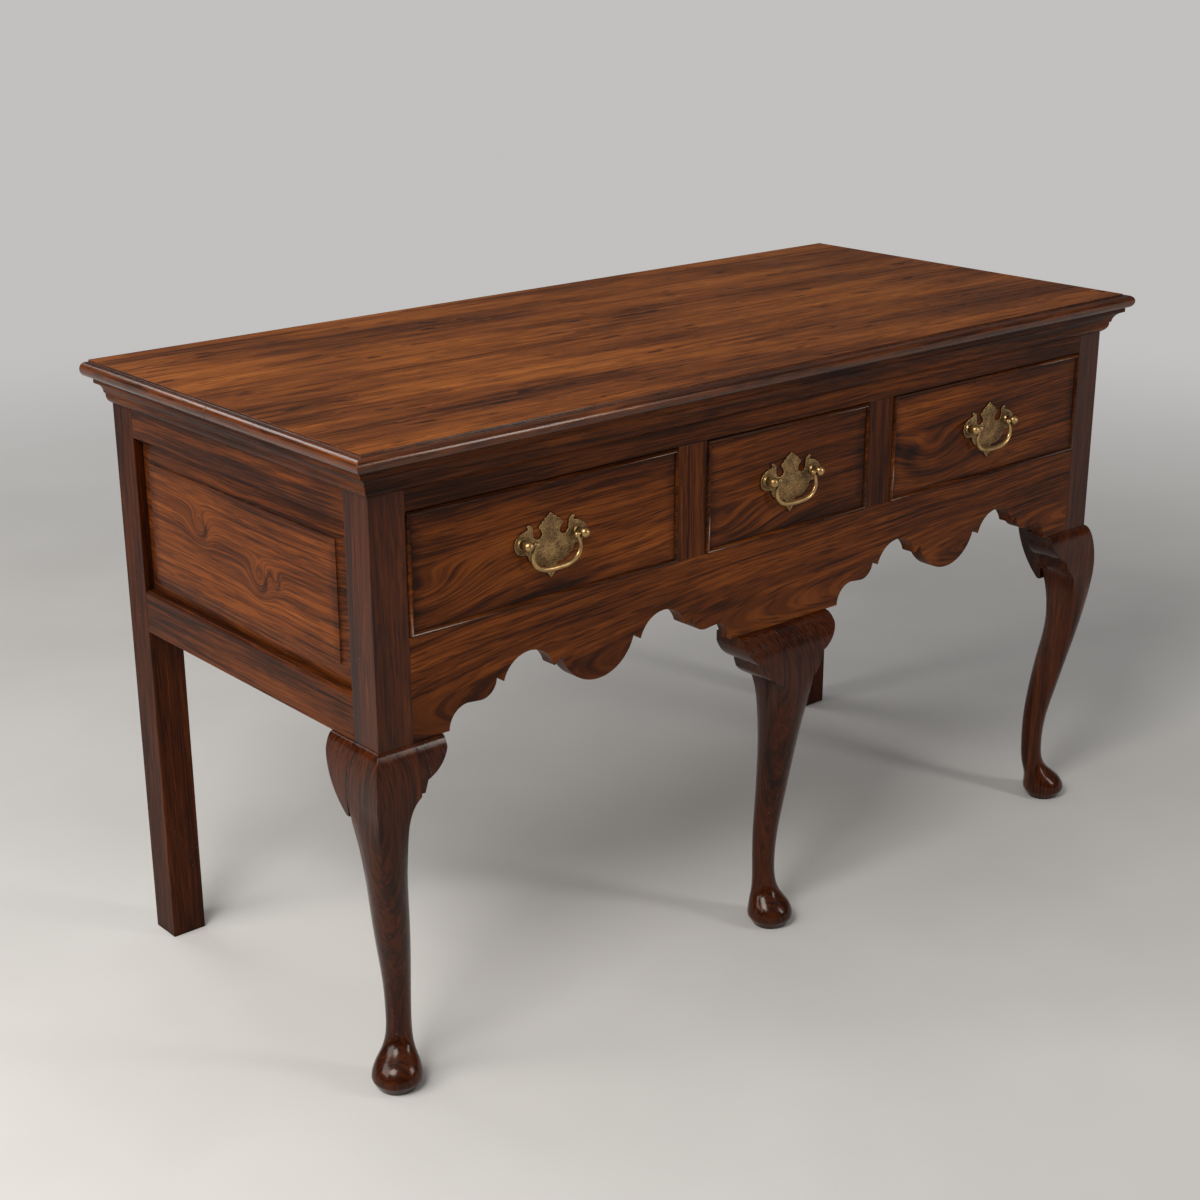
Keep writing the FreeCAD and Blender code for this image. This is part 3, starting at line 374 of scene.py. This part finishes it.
# Widths of the softened edges, from the narrowest, then the angles in degrees above which an edge is softened
BAIL_EDGE = 0.0002
SMALL_EDGE = 0.0003
FINE_EDGE = 0.0004
RAIL_EDGE = 0.0005
BOARD_EDGE = 0.0006
WORN_EDGE = 0.0010
PLATE_EDGE = 0.0011
LEG_ANGLE = 32.0
BRASS_ANGLE = 40.0
BAIL_ANGLE = 60.0

# Material slots of the top boards, after the flat field's
NOSE_SLOT = 1
END_SLOT = 2

# Finishes
FIELD_POLISH = dict(mottle=0.36, gloss=0.44, shine=0.10, coat=0.06)
NOSE_POLISH = dict(mottle=0.22, gloss=0.24, shine=0.25, coat=0.45, edge=0.0015)
LEG_POLISH = dict(mottle=0.24, gloss=0.20, shine=0.08, coat=0.42, edge=0.0030)
BEAD_POLISH = dict(gloss=0.26, shine=0.4, coat=0.4, shade_and_wax_reach=0.003)
PANEL_FIGURE = dict(figure=0.5, mottle=0.24, lift=0.05)
LINING = dict(ring=0.012, figure=0.7, gloss=0.58, coat=0.0)


def dress_top():
    """Both boards of the top, with a dark polished moulding round their flat field."""
    front_low, front_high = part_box("top_front_board")
    moulded = 0.0142
    field_end = front_high.x - moulded
    field_front = front_low.y + moulded
    for name, seed, pith, tilt in (("top_front_board", 1.0, (-1.3, 0.10), 0.03),
                                   ("top_back_board", 2.3, (1.4, 0.20), -0.03)):
        field = wood(f"{name}_wood", "x_top", TOP, pith, seed, tilt=tilt, ring=0.016, figure=0.45, lift=0.03,
                     flecks=0.42, seam=front_high.y, **FIELD_POLISH)
        dress([name], field, BOARD_EDGE)
        mesh = nodes[name].data
        for where, grain in (("nose", "x_top"), ("end", "y_flat")):
            mesh.materials.append(wood(f"{name}_{where}_wood", grain, CASE, (2.0, 1.0), 1.4, tilt=0.01,
                                       figure=0.3, lift=-0.12, **NOSE_POLISH))
        for face in mesh.polygons:
            if abs(face.center.x) > field_end:
                face.material_index = END_SLOT
            elif face.center.y < field_front:
                face.material_index = NOSE_SLOT


def dress_frame():
    """Cornice, rails, muntins and apron: straight grain, the pith far from the board."""
    # material, pieces, grain, pith, seed, figure, lift, edge
    straight = (
        ("cornice_front_wood", ["cornice_front"], "x_front", (2.0, 1.0), 3.1, 0.3, -0.14, FINE_EDGE),
        ("cornice_end_wood", ["cornice_left", "cornice_right"], "y_side", (2.4, 0.0), 3.9, 0.3, -0.08,
         FINE_EDGE),
        ("top_rail_wood", ["front_top_rail"], "x_front", (2.0, 0.2), 4.4, 0.5, -0.14, RAIL_EDGE),
        ("muntin_left_wood", ["muntin_left"], "z_front", (2.0, 0.5), 5.2, 0.4, -0.12, RAIL_EDGE),
        ("muntin_right_wood", ["muntin_right"], "z_front", (2.0, 0.5), 5.9, 0.4, -0.12, RAIL_EDGE),
        ("side_top_wood", ["side_top_rail_left", "side_top_rail_right"], "y_side", (2.4, 0.0), 7.1, 0.4,
         -0.08, BOARD_EDGE),
        ("side_bottom_wood", ["side_bottom_rail_left", "side_bottom_rail_right"], "y_side", (2.4, 0.0), 7.7,
         0.4, -0.14, BOARD_EDGE))
    for name, pieces, grain, pith, seed, figure, lift, width in straight:
        dress(pieces, wood(name, grain, CASE, pith, seed, tilt=0.01, figure=figure, lift=lift), width)
    apron = wood("apron_wood", "x_front", CASE, (0.50, -0.24), 6.3, figure=0.9, lift=-0.02)
    dress(["apron"], apron, BOARD_EDGE)


def dress_panels():
    """The side panels, with knots where the left one shows them and others of the same kind on the right."""
    left_knots = ((0.106, 0.654, 0.024, 0.020, 2.9), (-0.035, 0.619, 0.022, 0.021, 3.2),
                  (-0.074, 0.626, 0.012, 0.013, 1.4))
    right_knots = ((0.120, 0.612, 0.024, 0.020, 2.9), (-0.090, 0.662, 0.022, 0.021, 3.0))
    for side, knots, seed, pith, tilt in (("left", left_knots, 8.2, (0.52, -0.64), 0.03),
                                          ("right", right_knots, 8.9, (0.52, 0.64), -0.03)):
        name = f"side_panel_{side}"
        # rim paints shade on the sloping border round the raised field
        dress([name], wood(f"panel_{side}_wood", "y_side", CASE, pith, seed, tilt=tilt, knots=knots,
                           rim=face_rim(name, 1, 2, 0.036, 0.020, 0.20), **PANEL_FIGURE), BOARD_EDGE)


def dress_legs():
    for side, seed, pith in (("left", 10.3, (0.85, 1.24)), ("right", 11.6, (-0.85, 1.24)),
                             ("centre", 12.8, (1.5, 1.22))):
        brackets = [name for name in nodes if name.startswith(f"knee_bracket_{side}")]
        leg = wood(f"leg_{side}_wood", "z_front", LEG, pith, seed, tilt=0.02, figure=0.4, **LEG_POLISH)
        bracket = wood(f"bracket_{side}_wood", "z_front", LEG, pith, seed + 0.5, tilt=0.02, figure=0.4,
                       lift=0.02, **LEG_POLISH)
        dress([f"front_leg_{side}"], leg, FINE_EDGE, angle=LEG_ANGLE)
        dress(brackets, bracket, FINE_EDGE, angle=LEG_ANGLE)
    # The rear legs are darker than the front ones: painted shade for their place in shadow under the back of
    # the case
    rear = wood("rear_leg_wood", "z_side", LEG, (1.77, 2.5), 13.4, tilt=0.01, figure=0.4, lift=-0.06,
                gloss=0.42)
    dress(["rear_leg_left", "rear_leg_right"], rear, WORN_EDGE)


def dress_inside():
    """The back and the pieces that carry the drawers, in unpolished wood."""
    back = wood("back_board_wood", "x_front", INNER, (0.67, 0.45), 14.1, ring=0.014, figure=0.9, lift=-0.12,
                gloss=0.62, coat=0.0)
    dress(["back_boards"], back, WORN_EDGE)
    inside = wood("inside_wood", "y_flat", INNER, (2.0, 1.0), 15.0, ring=0.012, figure=0.7, lift=-0.05,
                  gloss=0.6, coat=0.0)
    dress(["back_top_rail", "back_bottom_rail", "drawer_runners", "drawer_kickers", "drawer_guides",
           "drawer_stops"], inside, BOARD_EDGE)


def dress_drawers():
    """Fronts with an eye in the grain, polished beads, plain linings and brass handles."""
    plate_brass = brass("plate_brass", 1.0, 0.34, -0.27)
    bail_brass = brass("bail_brass", 0.25, 0.27, -0.16)
    for side, seed, pith, eye in (("left", 16.3, (0.55, -0.20), (-0.610, 0.650, 0.090, 0.034, 2.8)),
                                  ("centre", 17.5, (0.54, -0.19), (-0.130, 0.628, 0.080, 0.030, 1.6)),
                                  ("right", 18.9, (0.55, -0.20), (0.300, 0.655, 0.085, 0.036, 2.4))):
        drawer = f"drawer_{side}"
        # rim paints shade along the front's border, inside the cock bead
        front = wood(f"{drawer}_front_wood", "x_front", CASE, pith, seed, tilt=0.05, figure=0.9, lift=0.02,
                     knots=[eye], rim=face_rim(f"{drawer}_front", 0, 2, 0.0, 0.026, 0.24))
        bead = wood(f"bead_{side}_wood", "x_front", CASE, (2.0, 1.0), seed + 0.3, figure=0.3, lift=0.02,
                    **BEAD_POLISH)
        lining = wood(f"{drawer}_lining_wood", "y_side", INNER, (2.4, 2.0), seed + 0.6, **LINING)
        back = wood(f"{drawer}_back_wood", "x_front", INNER, (0.5, 0.4), seed + 0.8, **LINING)
        dress([f"{drawer}_front"], front, FINE_EDGE)
        dress([f"{drawer}_cock_bead"], bead, SMALL_EDGE)
        dress([f"{drawer}_side_left", f"{drawer}_side_right", f"{drawer}_bottom"], lining, BOARD_EDGE)
        dress([f"{drawer}_back"], back, BOARD_EDGE)
        dress([f"handle_{side}_backplate"], plate_brass, PLATE_EDGE, angle=BRASS_ANGLE)
        dress([f"handle_{side}_posts"], bail_brass, SMALL_EDGE, angle=BRASS_ANGLE)
        dress([f"handle_{side}_bail"], bail_brass, BAIL_EDGE, segments=1, angle=BAIL_ANGLE)


# Floor, lights and camera

BACKDROP = (0.54, 0.53, 0.52, 1.0)
FLOOR_TONES = ((0.555, 0.545, 0.53, 1.0), (0.595, 0.585, 0.57, 1.0))
FLOOR_REACH = 40.0
FLOOR_BLEND = (1.3, 4.2)

# Each lamp: place, what it points at, width, height, watts, colour
LAMPS = {
    "key": ((-2.6, -1.25, 3.0), (-0.1, 0.0, 0.5), 1.2, 1.2, 78.0, (1.0, 0.97, 0.92)),
    "fill": ((1.2, -2.5, 1.55), (-0.3, 0.0, 0.5), 0.45, 1.1, 20.0, (1.0, 0.98, 0.96)),
    "side": ((-3.0, 0.2, 2.2), (-0.5, 0.0, 0.5), 2.0, 1.6, 64.0, (1.0, 0.97, 0.93)),
    "rear": ((-0.8, 3.0, 3.2), (0.0, 0.0, 0.5), 1.6, 1.2, 26.0, (1.0, 0.98, 0.96))}

# The world's brightness by height: a pale band at the horizon, dim walls and a soft ceiling
WALLS = ((0.045, 0.54), (0.10, 0.07), (0.45, 0.08))
CEILING = (0.45, 0.45, 0.45, 1.0)

CAMERA_PLACE = (-1.873, -2.066, 1.414)
CAMERA_TURN = (("Z", -41.28), ("X", 70.48), ("Y", 0.44))
LENS = 59.55
SENSOR = 36.0


def make_floor():
    """A painted floor that fades into the backdrop away from the object."""
    mesh = bpy.data.meshes.new("floor")
    mesh.from_pydata([(-FLOOR_REACH, -FLOOR_REACH, 0), (FLOOR_REACH, -FLOOR_REACH, 0),
                      (FLOOR_REACH, FLOOR_REACH, 0), (-FLOOR_REACH, FLOOR_REACH, 0)], [], [(0, 1, 2, 3)])
    floor = bpy.data.objects.new("floor", mesh)
    scene.collection.objects.link(floor)
    s = Shader("floor_paint")
    place = s.place()
    colour = s.mix(s.scaled(s.noise(place, 2.2, 3.0, 0.5), 0.3, 0.7), *FLOOR_TONES)
    body = s.add("ShaderNodeBsdfPrincipled", {"Base Color": colour, "Roughness": 0.75})
    away = s.add("ShaderNodeVectorMath", {0: place}, operation="LENGTH").outputs["Value"]
    ray = s.add("ShaderNodeLightPath").outputs
    seen = s.most(ray["Is Camera Ray"], s.most(ray["Is Glossy Ray"], ray["Is Transmission Ray"]))
    backdrop = s.add("ShaderNodeEmission", {"Color": BACKDROP, "Strength": 1.0})
    both = s.add("ShaderNodeMixShader", {"Fac": s.times(s.scaled(away, *FLOOR_BLEND), seen),
                                         1: body.outputs[0], 2: backdrop.outputs[0]})
    mesh.materials.append(s.output(both.outputs[0]))


def make_lamp(name, place, target, width, height, power, colour):
    lamp = bpy.data.lights.new(name, "AREA")
    lamp.shape = "RECTANGLE"
    lamp.size = width
    lamp.size_y = height
    lamp.energy = power
    lamp.color = colour
    thing = bpy.data.objects.new(name, lamp)
    scene.collection.objects.link(thing)
    thing.location = place
    thing.rotation_euler = (Vector(target) - Vector(place)).to_track_quat("-Z", "Y").to_euler()


def make_world():
    world = bpy.data.worlds.new("studio")
    scene.world = world
    world.use_nodes = True
    tree = world.node_tree
    tree.nodes.clear()
    direction = tree.nodes.new("ShaderNodeTexCoord")
    parts = tree.nodes.new("ShaderNodeSeparateXYZ")
    ramp = tree.nodes.new("ShaderNodeValToRGB")
    light = tree.nodes.new("ShaderNodeBackground")
    output = tree.nodes.new("ShaderNodeOutputWorld")
    tree.links.new(direction.outputs["Generated"], parts.inputs[0])
    tree.links.new(parts.outputs["Z"], ramp.inputs["Fac"])
    tree.links.new(ramp.outputs["Color"], light.inputs["Color"])
    tree.links.new(light.outputs[0], output.inputs["Surface"])
    elements = ramp.color_ramp.elements
    for height, grey in WALLS:
        elements.new(height).color = (grey, grey, grey, 1.0)
    elements[0].color = BACKDROP
    elements[-1].color = CEILING


def make_camera():
    view = bpy.data.cameras.new("camera")
    view.sensor_width = SENSOR
    view.lens = LENS
    view.clip_end = 200.0
    camera = bpy.data.objects.new("camera", view)
    scene.collection.objects.link(camera)
    pose = Matrix.Translation(CAMERA_PLACE)
    for axis, angle in CAMERA_TURN:
        pose = pose @ Matrix.Rotation(math.radians(angle), 4, axis)
    camera.matrix_world = pose
    scene.camera = camera


dress_top()
dress_frame()
dress_panels()
dress_legs()
dress_inside()
dress_drawers()
make_floor()
for lamp_name, settings in LAMPS.items():
    make_lamp(lamp_name, *settings)
make_world()
make_camera()
